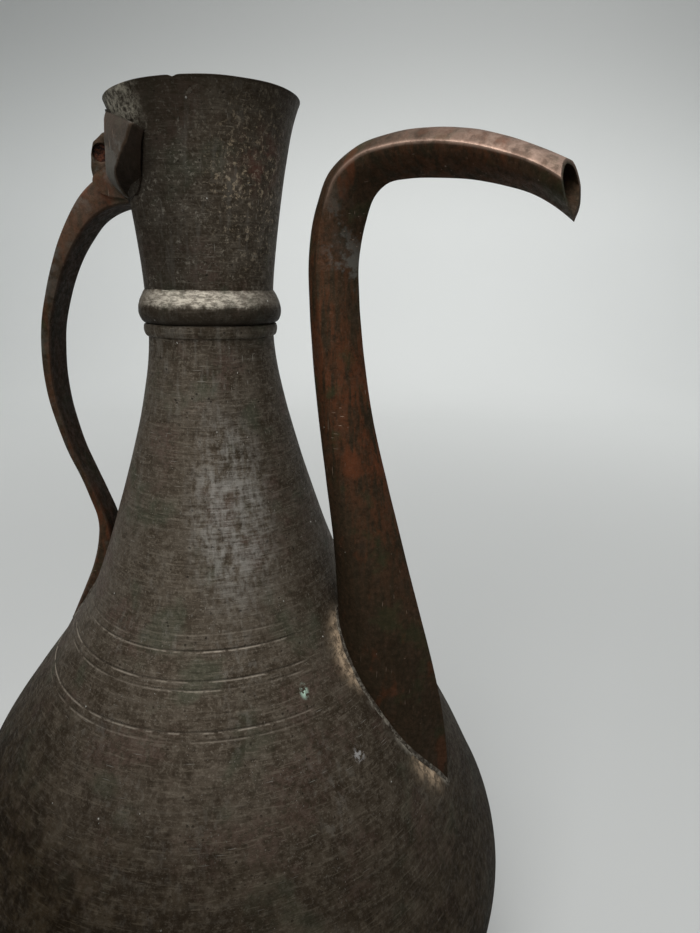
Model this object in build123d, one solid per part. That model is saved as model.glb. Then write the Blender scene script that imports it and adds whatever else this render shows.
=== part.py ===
from build123d import *
import os
from math import cos, sin, radians, hypot

# Copper ewer (ibriq) with a crook-necked spout, a strap handle and an empty lid hinge.
# Frame: +Z up, origin on the vessel's axis at the plane the foot stands on,
# +X towards the root of the spout.  Units are millimetres.

# ---- driving dimensions -------------------------------------------------
HEIGHT = 360.4            # foot to mouth edge, on the axis
MOUTH_TILT = 2.3          # degrees by which the mouth edge is out of level
MOUTH_HIGH_AZ = 34.0      # azimuth where the mouth edge is highest
BODY_WALL = 1.4           # raised copper sheet of body and mouth collar
SEAM_Z = 78.0             # seam between upper body and lower bowl
COLLAR_Z = 303.0          # butt seam between body cone and mouth collar
FOOT_TOP_Z = 24.0         # level where bowl, bottom disc and foot ring meet
FOOT_RADIUS = 61.5        # outside of the bead the ewer stands on
BEAD_BORE = 57.5          # inside of that bead
BEAD_HEIGHT = 4.0
SPOUT_WALL = 1.2
SPOUT_STEM_X = 43.5       # the line about which the crook is turned
SPOUT_HOLE_R = 7.0        # hole in the body wall behind the spout
HANDLE_AZ = 200.0         # azimuth of the strap's own plane
HINGE_AZ = 211.0          # azimuth of the hinge head
EYE_R = 2.5               # pin hole of the lid hinge
EYE_POS = (29.3, 346.9)   # radius and height of the pin hole
FAR_CHEEK = (-7.5, -4.0)  # sideways span of the cheek with the pin hole
CHEEK_INSIDE = 3.5        # sideways position of the near cheek's inner face
PIN_SINK = 0.8            # how far the broken pin lies below the cheek's faces

# radius and height along the outside of bowl, belly and cone
BODY_OUTLINE = [
    (50.0, FOOT_TOP_Z), (60.5, 31.0), (70.5, 41.5), (80.0, 54.5), (87.0, 66.0),
    (92.4, SEAM_Z), (96.2, 86.0), (99.6, 94.5), (101.3, 102.0), (101.4, 108.0),
    (99.7, 117.5), (93.2, 133.0), (85.8, 148.8), (77.2, 164.4), (66.0, 180.2),
    (54.2, 195.8), (44.0, 211.4), (37.4, 227.1), (32.1, 242.7), (27.1, 258.5),
    (22.8, 274.1), (19.8, 290.0), (19.3, COLLAR_Z),
]
# outside of the flared mouth collar
COLLAR_OUTLINE = [
    (19.3, COLLAR_Z), (19.6, 310.8), (20.6, 322.3), (22.0, 333.7),
    (23.8, 345.2), (26.1, 356.0), (27.6, HEIGHT), (28.4, HEIGHT + 1.9),
]
# outside of the splayed foot ring
FOOT_OUTLINE = [(61.0, BEAD_HEIGHT), (57.0, 9.0), (53.0, 16.0), (51.2, FOOT_TOP_Z)]
# heights of the scribed lines around the shoulder
SCRIBED_LINES = [190.5, 192.3, 201.2, 203.2, 210.1, 212.4, 214.3]
SCRIBE_DEPTH = 0.35
SCRIBE_HALF = 0.35

# Spout stations: top side (distance, height), keel side (distance, height),
# half width, turn in degrees.  Distances run from the stem line.
SPOUT_STATIONS = [
    ((12.5, 150.0), (40.3, 150.0), 12.6, 0.0),
    ((6.5, 172.0), (38.1, 172.0), 13.0, 0.0),
    ((2.0, 194.0), (33.4, 194.0), 12.7, 0.0),
    ((1.0, 212.0), (28.4, 212.0), 11.2, 0.0),
    ((-0.7, 232.3), (22.5, 232.3), 9.8, 0.0),
    ((-3.1, 250.7), (17.2, 250.7), 8.8, 0.0),
    ((-5.9, 272.0), (11.5, 272.0), 8.0, 0.0),
    ((-7.9, 291.0), (8.1, 291.0), 7.6, -1.0),
    ((-8.8, 306.5), (6.4, 306.0), 7.4, -3.0),
    ((-8.8, 320.0), (6.2, 317.5), 7.3, -6.0),
    ((-6.4, 331.8), (8.2, 326.5), 7.2, -9.0),
    ((-1.9, 340.4), (10.8, 332.5), 7.0, -12.0),
    ((6.3, 345.4), (14.9, 335.6), 6.8, -14.0),
    ((18.2, 347.6), (21.6, 336.3), 6.8, -15.0),
    ((29.8, 347.4), (29.2, 336.0), 6.9, -15.0),
    ((40.6, 345.6), (37.6, 335.1), 7.0, -15.0),
    ((50.3, 342.6), (46.8, 333.1), 7.1, -15.0),
    ((57.2, 339.9), (56.0, 329.9), 7.3, -15.0),
    ((62.2, 337.6), (64.8, 324.3), 7.5, -15.0),
]
ARRIS = 0.34              # share of the section's depth from top side to side arris

# Strap handle, radius and height in its own plane, from the neck to the tail
STRAP_OUTSIDE = [
    (21.0, 342.5), (27.0, 341.0), (31.3, 338.5), (34.6, 335.6), (39.3, 329.4),
    (43.0, 322.9), (46.0, 316.0), (48.6, 309.0), (50.7, 302.0), (52.1, 295.0),
    (52.8, 288.0), (52.8, 280.0), (52.0, 272.6), (50.5, 265.0), (48.2, 257.0),
    (45.2, 249.0), (42.6, 241.0), (41.1, 235.5), (40.7, 231.0), (41.1, 227.0),
    (43.3, 218.7), (47.5, 209.5), (52.6, 200.3), (56.2, 194.3),
]
STRAP_INSIDE = [
    (52.0, 192.0), (45.0, 203.0), (39.0, 214.0), (36.6, 225.0), (37.6, 233.0),
    (40.0, 240.5), (42.9, 248.5), (45.8, 256.5), (48.1, 265.0), (49.5, 273.0),
    (50.1, 280.5), (49.9, 288.0), (49.1, 295.0), (47.4, 302.0), (45.0, 309.0),
    (41.8, 316.0), (37.4, 322.7), (31.8, 328.8), (26.5, 331.6), (19.0, 332.8),
]
# half width of the strap by height
STRAP_HALF_WIDTH = [
    (343.5, 6.6), (325.0, 6.3), (300.0, 6.0), (275.0, 5.6), (250.0, 5.1),
    (234.0, 5.3), (216.0, 6.8), (205.0, 5.6), (197.0, 2.8), (193.0, 0.8),
]
# near cheek: corners (outwards, sideways) of each level, bottom to top, with the
# level's height at the axis and its rise per millimetre outwards
NEAR_CHEEK_LEVELS = [
    ([(12.0, 3.5), (21.0, 3.5), (21.8, 4.6), (21.6, 6.0), (15.0, 12.0)], 333.8, 0.0),
    ([(12.0, 3.5), (25.6, 3.5), (25.4, 6.6), (23.8, 9.6), (15.5, 16.5)], 338.0, 0.0),
    ([(12.0, 3.5), (26.4, 3.5), (26.0, 7.6), (20.6, 14.6), (14.6, 19.6)], 345.0, 0.0),
    ([(12.0, 3.5), (25.8, 3.5), (25.4, 8.0), (16.9, 19.2), (13.2, 20.9)], 341.9, 0.52),
]
# far cheek outline, outwards and height
FAR_CHEEK_OUTLINE = [
    (14.0, 353.4), (25.5, 353.2), (28.6, 352.3), (31.2, 349.8), (32.2, 346.4),
    (32.6, 342.6), (32.2, 339.4), (29.0, 335.0), (14.0, 334.0),
]
SADDLE_OUTLINE = [
    (14.0, 343.6), (25.0, 343.2), (27.8, 341.6), (30.6, 339.8), (31.0, 337.4),
    (29.0, 334.5), (14.0, 333.0),
]


# ---- helpers --------------------------------------------------------------
def at_rz(point):
    """Point of the XZ plane from radius and height."""
    return (point[0], 0.0, point[1])


def inward(points, wall):
    """The outline moved by one wall thickness towards the inside; ends stay level."""
    moved = []
    for i, (r, z) in enumerate(points):
        before = points[max(i - 1, 0)]
        after = points[min(i + 1, len(points) - 1)]
        dr, dz = after[0] - before[0], after[1] - before[1]
        length = hypot(dr, dz)
        if i in (0, len(points) - 1):
            moved.append((r - wall * length / dz, z))
        else:
            moved.append((r - wall * dz / length, z + wall * dr / length))
    return moved


def spun(edges):
    """Solid of revolution about Z from edges that close in the XZ plane."""
    return revolve(make_face(edges), Axis.Z)


def spun_sheet(outline, wall):
    """A sheet wall of revolution with the outline as its outside."""
    inside = inward(outline, wall)
    outer = Spline(*[at_rz(p) for p in outline])
    inner = Spline(*[at_rz(p) for p in inside])
    lower = Line(at_rz(outline[0]), at_rz(inside[0]))
    upper = Line(at_rz(outline[-1]), at_rz(inside[-1]))
    return spun([outer, upper, inner, lower])


def spun_filled(outline):
    """The same outside filled to the axis."""
    outer = Spline(*[at_rz(p) for p in outline])
    foot, head = (0.0, outline[0][1]), (0.0, outline[-1][1])
    return spun([
        outer,
        Line(at_rz(outline[-1]), at_rz(head)),
        Line(at_rz(head), at_rz(foot)),
        Line(at_rz(foot), at_rz(outline[0])),
    ])


def grown(outline, extra):
    """The outline with every radius enlarged."""
    return [(r + extra, z) for r, z in outline]


def slab(z_low, z_high):
    """A block wider than the vessel between two heights."""
    block = Box(260.0, 260.0, z_high - z_low, align=(Align.CENTER, Align.CENTER, Align.MIN))
    return Pos(0, 0, z_low) * block


def turned(shape, azimuth):
    """A shape drawn towards +X, turned to an azimuth about the vessel's axis."""
    return Rot(0, 0, azimuth) * shape


def side_prism(edges, low, high):
    """Edges closed in the XZ plane, extruded from one sideways position to another."""
    face = make_face(edges)
    solid = extrude(face, amount=high - low, dir=(0, 1, 0))
    return Pos(0, low, 0) * solid


def closed_polyline(points):
    return [Polyline(*[at_rz(p) for p in points], close=True)]


# ---- body, collar, foot -------------------------------------------------------
def scribe_cutter():
    """Small triangular rings that cut the lines around the shoulder."""
    cutter = None
    for z in SCRIBED_LINES:
        r = radius_at(BODY_OUTLINE, z)
        ring = spun(closed_polyline([
            (r - SCRIBE_DEPTH, z), (r + 1.6, z - SCRIBE_HALF * 2.6), (r + 1.6, z + SCRIBE_HALF * 2.6),
        ]))
        cutter = ring if cutter is None else cutter + ring
    return cutter


def radius_at(outline, z):
    """Radius of the outline's spline at a height."""
    curve = Spline(*[at_rz(p) for p in outline])
    low, high = 0.0, 1.0
    for _ in range(40):
        middle = (low + high) / 2
        if (curve @ middle).Z < z:
            low = middle
        else:
            high = middle
    return (curve @ low).X


def spout_hole():
    """Round hole through the body wall, inside the foot of the spout."""
    bar = Cylinder(SPOUT_HOLE_R, 40.0, rotation=(0, 90, 0))
    return Pos(58.0, 0, 188.0) * bar


def make_body():
    """Upper body with cone, and lower bowl, cut from one raised shape at the seam."""
    shell = spun_sheet(BODY_OUTLINE, BODY_WALL)
    upper = (shell & slab(SEAM_Z, COLLAR_Z + 10)) - scribe_cutter() - spout_hole()
    lower = shell & slab(FOOT_TOP_Z - 10, SEAM_Z)
    return upper, lower


def make_bottom_disc():
    """Slightly domed disc that closes the bowl inside the foot ring."""
    rise = 4.0
    rim = inward(BODY_OUTLINE, BODY_WALL)[0][0]
    under = ThreePointArc((0, 0, FOOT_TOP_Z + rise - BODY_WALL), (rim / 2, 0, FOOT_TOP_Z + rise * 0.75 - BODY_WALL),
                          (rim, 0, FOOT_TOP_Z - BODY_WALL))
    over = ThreePointArc((0, 0, FOOT_TOP_Z + rise), (rim / 2, 0, FOOT_TOP_Z + rise * 0.75), (rim, 0, FOOT_TOP_Z))
    edge = Line((rim, 0, FOOT_TOP_Z - BODY_WALL), (50.0, 0, FOOT_TOP_Z - BODY_WALL))
    side = Line((50.0, 0, FOOT_TOP_Z - BODY_WALL), (50.0, 0, FOOT_TOP_Z))
    lip = Line((50.0, 0, FOOT_TOP_Z), (rim, 0, FOOT_TOP_Z))
    axis = Line((0, 0, FOOT_TOP_Z + rise - BODY_WALL), (0, 0, FOOT_TOP_Z + rise))
    return spun([under, edge, side, lip, over, axis])


def make_foot():
    """Splayed foot ring and the solid bead it stands on."""
    ring = spun([
        Spline(*[at_rz(p) for p in FOOT_OUTLINE]),
        Line(at_rz(FOOT_OUTLINE[-1]), (50.0, 0, FOOT_TOP_Z)),
        Line((50.0, 0, FOOT_TOP_Z), (50.0, 0, FOOT_TOP_Z - 2.6)),
        Spline((50.0, 0, FOOT_TOP_Z - 2.6), (51.4, 0, 15.6), (55.2, 0, 8.8), (58.6, 0, BEAD_HEIGHT)),
        Line((58.6, 0, BEAD_HEIGHT), at_rz(FOOT_OUTLINE[0])),
    ])
    bead = spun([
        Line((BEAD_BORE, 0, 0), (FOOT_RADIUS - 1.0, 0, 0)),
        ThreePointArc((FOOT_RADIUS - 1.0, 0, 0), (FOOT_RADIUS, 0, BEAD_HEIGHT / 2),
                      (FOOT_RADIUS - 1.0, 0, BEAD_HEIGHT)),
        Line((FOOT_RADIUS - 1.0, 0, BEAD_HEIGHT), (BEAD_BORE, 0, BEAD_HEIGHT)),
        Line((BEAD_BORE, 0, BEAD_HEIGHT), (BEAD_BORE, 0, 0)),
    ])
    return ring, bead


def make_collar():
    """Flared mouth collar, its edge trimmed by a plane that is slightly out of level."""
    lean, azimuth = radians(MOUTH_TILT), radians(MOUTH_HIGH_AZ)
    edge = Plane(
        origin=(0, 0, HEIGHT), z_dir=(-sin(lean) * cos(azimuth), -sin(lean) * sin(azimuth), cos(lean)),
    )
    above = edge * Box(90, 90, 20, align=(Align.CENTER, Align.CENTER, Align.MIN))
    return spun_sheet(COLLAR_OUTLINE, BODY_WALL) - above


def make_neck_rings(envelope):
    """Half-round ring and flat band that cover the seam under the mouth collar."""
    bulge = Spline(
        (18.5, 0, 299.0), (20.7, 0, 299.6), (21.9, 0, 303.4), (20.6, 0, 307.6), (18.5, 0, 309.4),
        tangents=[(1, 0, 0), (-1, 0, 0)],
    )
    ring = spun([bulge, Line((18.5, 0, 309.4), (18.5, 0, 299.0))]) - envelope
    band = spun([
        Line((18.0, 0, 295.4), (20.0, 0, 295.4)),
        ThreePointArc((20.0, 0, 295.4), (20.5, 0, 297.2), (20.2, 0, 299.0)),
        Line((20.2, 0, 299.0), (18.0, 0, 299.0)),
        Line((18.0, 0, 299.0), (18.0, 0, 295.4)),
    ]) - envelope - ring
    return ring, band


# ---- spout -----------------------------------------------------------------------
def spout_point(station, along, across):
    """Point of a spout section: along 0 top side, 1 keel; across -1..1 to the side arrises."""
    (top_s, top_z), (keel_s, keel_z), half, turn = station
    s = top_s + (keel_s - top_s) * along
    z = top_z + (keel_z - top_z) * along
    c, n = cos(radians(turn)), sin(radians(turn))
    side = -half * across
    return (SPOUT_STEM_X + s * c - side * n, s * n + side * c, z)


def scaled_point(station, along, across, extra):
    """The same point with the section grown (or shrunk) by a wall thickness."""
    (top_s, top_z), (keel_s, keel_z), half, _ = station
    depth = hypot(keel_s - top_s, keel_z - top_z)
    middle = 0.44
    along = middle + (along - middle) * (1 + 2 * extra / depth)
    return spout_point(station, along, across * (1 + 1.15 * extra / half))


TOP_SIDE = [(ARRIS, 1.0), (0.1, 0.66), (0.0, 0.0), (0.1, -0.66), (ARRIS, -1.0)]
KEEL_NEAR = [(ARRIS, 1.0), (0.7, 0.56), (1.0, 0.0)]
KEEL_FAR = [(1.0, 0.0), (0.7, -0.56), (ARRIS, -1.0)]


def curve(station, pairs, extra):
    return Spline(*[scaled_point(station, a, b, extra) for a, b in pairs])


def joint_line(station, across, outer, inner):
    return Line(
        scaled_point(station, ARRIS, across, outer),
        scaled_point(station, ARRIS, across, inner),
    )


def top_sheet_face(station):
    inner = -SPOUT_WALL
    return make_face([
        curve(station, TOP_SIDE, 0.0),
        joint_line(station, -1.0, 0.0, inner),
        curve(station, TOP_SIDE, inner),
        joint_line(station, 1.0, 0.0, inner),
    ])


def keel_sheet_face(station):
    inner = -SPOUT_WALL
    return make_face([
        curve(station, KEEL_NEAR, 0.0),
        curve(station, KEEL_FAR, 0.0),
        joint_line(station, -1.0, 0.0, inner),
        curve(station, KEEL_FAR, inner),
        curve(station, KEEL_NEAR, inner),
        joint_line(station, 1.0, 0.0, inner),
    ])


def filled_face(station, extra):
    return make_face([
        curve(station, TOP_SIDE, extra),
        curve(station, KEEL_NEAR, extra),
        curve(station, KEEL_FAR, extra),
    ])


def make_spout(envelope, wide_envelope):
    """Two folded sheets joined along the side arrises, and the solder bead at their foot."""
    top = loft([top_sheet_face(s) for s in SPOUT_STATIONS]) - envelope
    keel = loft([keel_sheet_face(s) for s in SPOUT_STATIONS]) - envelope
    base = SPOUT_STATIONS[:6]
    core = loft([filled_face(s, 0.0) for s in SPOUT_STATIONS])
    jacket = loft([filled_face(s, 1.7) for s in base])
    bead = (jacket & wide_envelope) - core - envelope - top - keel
    bead = bead.solids().sort_by(SortBy.VOLUME)[-1]
    return top, keel, bead


# ---- handle and hinge ----------------------------------------------------------------
def make_strap(envelope):
    """Flat strap whose tail lies on the shoulder and whose head meets the neck."""
    outside = Spline(*[at_rz(p) for p in STRAP_OUTSIDE])
    inside = Spline(*[at_rz(p) for p in STRAP_INSIDE])
    tail = Line(at_rz(STRAP_OUTSIDE[-1]), at_rz(STRAP_INSIDE[0]))
    head = Line(at_rz(STRAP_INSIDE[-1]), at_rz(STRAP_OUTSIDE[0]))
    side = side_prism([outside, tail, inside, head], -10.0, 10.0)
    near = Spline(*[(0, w, z) for z, w in STRAP_HALF_WIDTH])
    far = Spline(*[(0, -w, z) for z, w in STRAP_HALF_WIDTH])
    first, last = STRAP_HALF_WIDTH[0], STRAP_HALF_WIDTH[-1]
    front = extrude(make_face([
        near, Line((0, last[1], last[0]), (0, -last[1], last[0])),
        far, Line((0, -first[1], first[0]), (0, first[1], first[0])),
    ]), amount=90.0, dir=(1, 0, 0))
    return turned(side & front, HANDLE_AZ) - envelope


def make_near_cheek(envelope, strap):
    """Shield-shaped cheek that wraps onto the neck."""
    faces = []
    for corners, height, rise in NEAR_CHEEK_LEVELS:
        points = [(x, y, height + rise * x) for x, y in corners]
        faces.append(make_face(Polyline(*points, close=True)))
    return turned(loft(faces, ruled=True), HINGE_AZ) - envelope - strap


def make_far_cheek(envelope, strap):
    """Rounded cheek with the eye for the lid's pin."""
    low, high = FAR_CHEEK
    ear = side_prism(closed_polyline(FAR_CHEEK_OUTLINE), low, high)
    drill = Pos(EYE_POS[0], (low + high) / 2, EYE_POS[1]) * Cylinder(EYE_R, 20.0, rotation=(90, 0, 0))
    return turned(ear - drill, HINGE_AZ) - envelope - strap


def make_pin_stub():
    """Broken end of the lid's iron pin, left in the far cheek's eye, short of both faces."""
    low, high = FAR_CHEEK
    middle = Pos(EYE_POS[0], (low + high) / 2, EYE_POS[1])
    return turned(middle * Cylinder(EYE_R, high - low - 2 * PIN_SINK, rotation=(90, 0, 0)), HINGE_AZ)


def make_saddle(envelope, strap):
    """Block between the cheeks, seated on the head of the strap."""
    block = side_prism(closed_polyline(SADDLE_OUTLINE), FAR_CHEEK[1], CHEEK_INSIDE)
    return turned(block, HINGE_AZ) - envelope - strap


def pad(shell, azimuth, z, half_width, half_height, others):
    """A thin oval pad of solder on the vessel's surface around other pieces."""
    oval = extrude(Plane.YZ * Ellipse(half_width, half_height), amount=90.0)
    shape = shell & turned(Pos(0, 0, z) * oval, azimuth)
    for other in others:
        shape = shape - other
    return shape.solids().sort_by(SortBy.VOLUME)[-1]


# ---- build --------------------------------------------------------------------------------
def build():
    body_fill = spun_filled(BODY_OUTLINE)
    collar_fill = spun_filled(COLLAR_OUTLINE)
    envelope = body_fill + collar_fill
    wide_body = spun_filled(grown(BODY_OUTLINE, 1.8))

    parts = {}
    parts["body_upper"], parts["body_lower"] = make_body()
    parts["bottom_disc"] = make_bottom_disc()
    parts["foot_ring"], parts["foot_bead"] = make_foot()
    parts["mouth_collar"] = make_collar()
    parts["neck_ring"], parts["neck_band"] = make_neck_rings(envelope)
    top, keel, bead = make_spout(body_fill, wide_body)
    parts["spout_top_sheet"], parts["spout_keel_sheet"], parts["spout_solder"] = top, keel, bead

    strap = make_strap(envelope)
    parts["handle_strap"] = strap
    near = make_near_cheek(envelope, strap)
    far = make_far_cheek(envelope, strap)
    saddle = make_saddle(envelope, strap)
    parts["hinge_cheek_near"], parts["hinge_cheek_far"], parts["hinge_saddle"] = near, far, saddle
    parts["pin_stub"] = make_pin_stub()

    neck_skin = spun_filled(grown(COLLAR_OUTLINE, 0.8)) - collar_fill
    parts["hinge_solder"] = pad(neck_skin, HINGE_AZ + 6, 344.0, 17.0, 13.0, [strap, near, far, saddle])
    body_skin = spun_filled(grown(BODY_OUTLINE, 0.9)) - body_fill
    parts["tail_solder"] = pad(body_skin, HANDLE_AZ, 206.0, 8.6, 17.5, [strap])
    return parts


os.makedirs("parts", exist_ok=True)
for name, shape in build().items():
    export_step(shape, f"parts/{name}.step")
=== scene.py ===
import math

import bmesh
import bpy
import numpy as np
from mathutils import Matrix, Vector, noise


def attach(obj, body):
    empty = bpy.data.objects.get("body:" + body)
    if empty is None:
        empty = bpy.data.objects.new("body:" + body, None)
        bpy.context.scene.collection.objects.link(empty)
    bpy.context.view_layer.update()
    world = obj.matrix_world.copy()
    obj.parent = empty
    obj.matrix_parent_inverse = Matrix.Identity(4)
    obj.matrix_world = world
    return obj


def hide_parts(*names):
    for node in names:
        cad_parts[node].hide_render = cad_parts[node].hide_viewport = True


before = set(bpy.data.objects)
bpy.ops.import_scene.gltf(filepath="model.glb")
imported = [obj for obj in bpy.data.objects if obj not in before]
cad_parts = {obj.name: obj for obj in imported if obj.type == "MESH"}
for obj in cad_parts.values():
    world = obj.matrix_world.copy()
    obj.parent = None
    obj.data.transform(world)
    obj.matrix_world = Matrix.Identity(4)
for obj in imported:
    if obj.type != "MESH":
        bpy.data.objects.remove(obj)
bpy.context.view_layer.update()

# Lengths in this script are millimetres until a mesh is made, which turns them to metres.
MM = 0.001

# ---------------------------------------------------------------- shape of the ewer
BODY_WALL = 1.4
SEAM_Z = 78.0
COLLAR_Z = 303.0
FOOT_TOP_Z = 24.0
HEIGHT = 360.4
RIM_TILT = math.radians(2.3)
RIM_HIGH_AZ = math.radians(34.0)
NECK_BEND = 1.0
BODY_OUTLINE = [
    (50.0, FOOT_TOP_Z), (60.5, 31.0), (70.5, 41.5), (80.0, 54.5), (87.0, 66.0),
    (92.4, SEAM_Z), (96.2, 86.0), (99.6, 94.5), (101.3, 102.0), (101.4, 108.0),
    (99.7, 117.5), (93.2, 133.0), (85.8, 148.8), (77.2, 164.4), (66.0, 180.2),
    (54.2, 195.8), (44.0, 211.4), (37.4, 227.1), (32.1, 242.7), (27.1, 258.5),
    (22.8, 274.1), (19.8, 290.0), (19.3, COLLAR_Z),
]
COLLAR_OUTLINE = [
    (19.3, COLLAR_Z), (19.6, 310.8), (20.6, 322.3), (22.0, 333.7),
    (23.8, 345.2), (26.1, 356.0), (27.55, HEIGHT - 0.3),
]
FOOT_OUTLINE = [(61.0, 4.0), (57.0, 9.0), (53.0, 16.0), (51.2, FOOT_TOP_Z)]
FOOT_INSIDE = [(58.6, 4.0), (55.2, 8.8), (51.4, 15.6), (50.0, FOOT_TOP_Z - 2.6)]
SCRIBE_DEPTH = 0.26
SCRIBED = [190.5, 192.3, 201.2, 203.2, 210.1, 212.4, 214.3]

SPOUT_STEM_X = 43.5
ARRIS = 0.34
SPOUT_CORE = 0.44
SPOUT_TIP_DRAW = 0.4
SPOUT_WALL = 1.2
SPOUT_STATIONS = [
    ((12.5, 150.0), (40.3, 150.0), 12.6, 0.0),
    ((6.5, 172.0), (38.1, 172.0), 13.0, 0.0),
    ((2.0, 194.0), (33.4, 194.0), 12.7, 0.0),
    ((1.0, 212.0), (28.4, 212.0), 11.2, 0.0),
    ((-0.7, 232.3), (22.5, 232.3), 9.8, 0.0),
    ((-3.1, 250.7), (17.2, 250.7), 8.8, 0.0),
    ((-5.9, 272.0), (11.5, 272.0), 8.0, 0.0),
    ((-7.9, 291.0), (8.1, 291.0), 7.6, -1.0),
    ((-8.8, 306.5), (6.4, 306.0), 7.4, -3.0),
    ((-8.8, 320.0), (6.2, 317.5), 7.3, -6.0),
    ((-6.4, 331.8), (8.2, 326.5), 7.2, -9.0),
    ((-1.9, 340.4), (10.8, 332.5), 7.0, -12.0),
    ((6.3, 345.4), (14.9, 335.6), 6.8, -14.0),
    ((18.2, 347.6), (21.6, 336.3), 6.8, -15.0),
    ((29.8, 347.4), (29.2, 336.0), 6.9, -15.0),
    ((40.6, 345.6), (37.6, 335.1), 7.0, -15.0),
    ((50.3, 342.6), (46.8, 333.1), 7.1, -15.0),
    ((57.2, 339.9), (56.0, 329.9), 7.3, -15.0),
    ((62.2, 337.6), (64.8, 324.3), 7.5, -15.0),
]
TOP_SIDE = [(ARRIS, 1.0), (0.1, 0.66), (0.0, 0.0), (0.1, -0.66), (ARRIS, -1.0)]
KEEL_NEAR = [(ARRIS, 1.0), (0.7, 0.56), (1.0, 0.0)]

HANDLE_AZ = math.radians(200.0)
HINGE_AZ = math.radians(211.0)
EYE_POS = (29.3, 346.9)
EYE_R = 2.5
PIN_SINK = 0.8
PAD_SINK = 0.5
FAR_CHEEK = (-7.5, -4.0)
CHEEK_INSIDE = 3.5
STRAP_OUTSIDE = [
    (21.0, 342.5), (27.0, 341.0), (31.3, 338.5), (34.6, 335.6), (39.3, 329.4),
    (43.0, 322.9), (46.0, 316.0), (48.6, 309.0), (50.7, 302.0), (52.1, 295.0),
    (52.8, 288.0), (52.8, 280.0), (52.0, 272.6), (50.5, 265.0), (48.2, 257.0),
    (45.2, 249.0), (42.6, 241.0), (41.1, 235.5), (40.7, 231.0), (41.1, 227.0),
    (43.3, 218.7), (47.5, 209.5), (52.6, 200.3), (56.2, 194.3),
]
STRAP_INSIDE = [
    (19.0, 332.8), (26.5, 331.6), (31.8, 328.8), (37.4, 322.7), (41.8, 316.0),
    (45.0, 309.0), (47.4, 302.0), (49.1, 295.0), (49.9, 288.0), (50.1, 280.5),
    (49.5, 273.0), (48.1, 265.0), (45.8, 256.5), (42.9, 248.5), (40.0, 240.5),
    (37.6, 233.0), (36.6, 225.0), (39.0, 214.0), (45.0, 203.0), (52.0, 192.0),
]
STRAP_HALF_WIDTH = [
    (193.0, 0.8), (197.0, 2.8), (205.0, 5.6), (216.0, 6.8), (234.0, 5.3),
    (250.0, 5.1), (275.0, 5.6), (300.0, 6.0), (325.0, 6.3), (343.5, 6.6),
]
NEAR_CHEEK_LEVELS = [
    ([(12.0, 3.5), (21.0, 3.5), (21.8, 4.6), (21.6, 6.0), (15.0, 12.0)], 333.8, 0.0),
    ([(12.0, 3.5), (25.6, 3.5), (25.4, 6.6), (23.8, 9.6), (15.5, 16.5)], 338.0, 0.0),
    ([(12.0, 3.5), (26.4, 3.5), (26.0, 7.6), (20.6, 14.6), (14.6, 19.6)], 345.0, 0.0),
    ([(12.0, 3.5), (25.8, 3.5), (25.4, 8.0), (16.9, 19.2), (13.2, 20.9)], 341.9, 0.52),
]
FAR_CHEEK_OUTLINE = [
    (14.0, 353.4), (25.5, 353.2), (28.6, 352.3), (31.2, 349.8), (32.2, 346.4),
    (32.6, 342.6), (32.2, 339.4), (29.0, 335.0), (14.0, 334.0),
]
SADDLE_OUTLINE = [
    (14.0, 343.6), (25.0, 343.2), (27.8, 341.6), (30.6, 339.8), (31.0, 337.4),
    (29.0, 334.5), (14.0, 333.0),
]


# ---------------------------------------------------------------- curve and mesh helpers
def circle(count):
    """Angles at even steps round a full turn."""
    return np.linspace(0, 2 * math.pi, count, endpoint=False)


def distances(points):
    """Distance from the first point to each, along the line through them."""
    return np.concatenate([[0], np.cumsum(np.linalg.norm(np.diff(points, axis=0), axis=1))])


def smooth(points, step):
    """Points along a smooth curve through the given points, about step apart."""
    p = np.array(points, float)
    length = distances(p)
    count = max(2, int(round(length[-1] / step)) + 1)
    return hermite(length, p, np.linspace(0, length[-1], count))


def hermite(t, p, at):
    """Cubic curve through p at parameters t, read at the parameters at."""
    slope = np.zeros_like(p)
    h = np.diff(t)
    d = np.diff(p, axis=0) / h[:, None]
    slope[1:-1] = (d[:-1] * h[1:, None] + d[1:] * h[:-1, None]) / (h[1:] + h[:-1])[:, None]
    slope[0], slope[-1] = 2 * d[0] - slope[1], 2 * d[-1] - slope[-2]
    i = np.clip(np.searchsorted(t, at, side="right") - 1, 0, len(t) - 2)
    w = ((at - t[i]) / h[i])[:, None]
    k = h[i][:, None]
    return (
        (2 * w**3 - 3 * w**2 + 1) * p[i] + (w**3 - 2 * w**2 + w) * k * slope[i]
        + (3 * w**2 - 2 * w**3) * p[i + 1] + (w**3 - w**2) * k * slope[i + 1]
    )


BODY_CURVE = smooth(BODY_OUTLINE, 0.5)
COLLAR_CURVE = smooth(COLLAR_OUTLINE, 0.5)
PROFILE = np.vstack([BODY_CURVE, COLLAR_CURVE[1:]])


def radius(z):
    """Outside radius of the vessel at a height."""
    return np.interp(z, PROFILE[:, 1], PROFILE[:, 0])


def inward(curve, wall):
    """The curve moved inwards by a wall thickness, its ends kept level."""
    tangent = np.gradient(curve, axis=0)
    tangent /= np.linalg.norm(tangent, axis=1)[:, None]
    moved = curve + wall * np.stack([-tangent[:, 1], tangent[:, 0]], axis=1)
    moved[0, 1], moved[-1, 1] = curve[0, 1], curve[-1, 1]
    return moved


def rumple(points, size, depth, seed):
    """Smooth noise from 0 to depth at each point; features are about size across."""
    shift = Vector((seed * 17.3, seed * 5.1, seed * 9.7))
    return np.array([
        depth * (0.5 + 0.5 * noise.noise(Vector(p) / size + shift)) for p in points
    ])


def from_axis(points):
    return np.hypot(points[:, 0], points[:, 1])


def press_in(points, depth):
    """Move points towards the vessel's axis."""
    points[:, :2] *= (1 - depth / from_axis(points))[:, None]


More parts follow.
